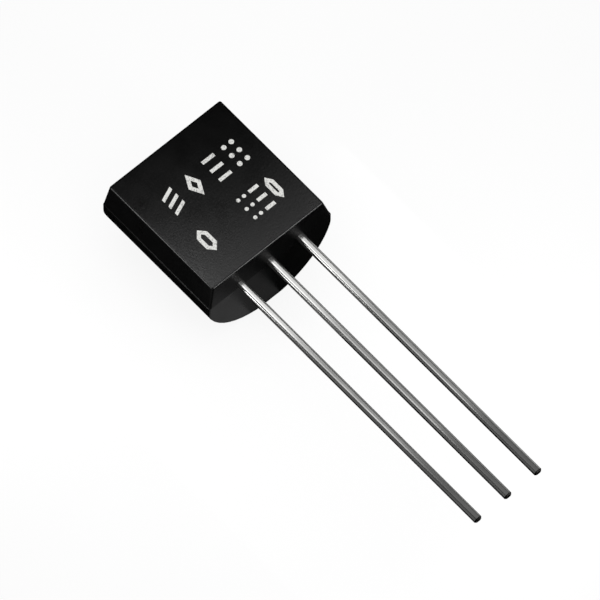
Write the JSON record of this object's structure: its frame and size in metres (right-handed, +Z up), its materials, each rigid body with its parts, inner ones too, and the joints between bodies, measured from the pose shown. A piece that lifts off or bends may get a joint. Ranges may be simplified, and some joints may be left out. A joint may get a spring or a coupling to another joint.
{
  "type": "to-92 transistor",
  "caption": "Small through-hole transistor: a black moulded body, flat in front and round behind, with slim straight tinned leads in one row from its lower end.",
  "frame": {"origin": "middle of the footprint of the body and leads together, on the surface that the part lies on", "axes": "+X along the leads towards their tips, +Y across the flat face from the emitter lead to the base lead, +Z up, out of the flat face"},
  "size_m": [0.0164, 0.0052, 0.0035],
  "materials": {
    "moulded_epoxy": "black epoxy moulding, fine matte with a slight sheen",
    "tinned_lead": "solder-dipped tin, smooth and bright",
    "silicon": "polished silicon, dark grey",
    "silver_bond": "silver-filled bonding layer, satin",
    "gold_wire": "drawn gold wire, bright",
    "marking_ink": "pale grey marking ink, matte and thin, printed on the flat face; only the visual model carries it"
  },
  "bodies": {
    "root": {"body": "moulded_epoxy", "emitter_lead": "tinned_lead", "collector_lead": "tinned_lead", "base_lead": "tinned_lead", "die": "silicon", "die_attach": "silver_bond", "emitter_bond_wire": "gold_wire", "base_bond_wire": "gold_wire"}
  },
  "joints": []
}
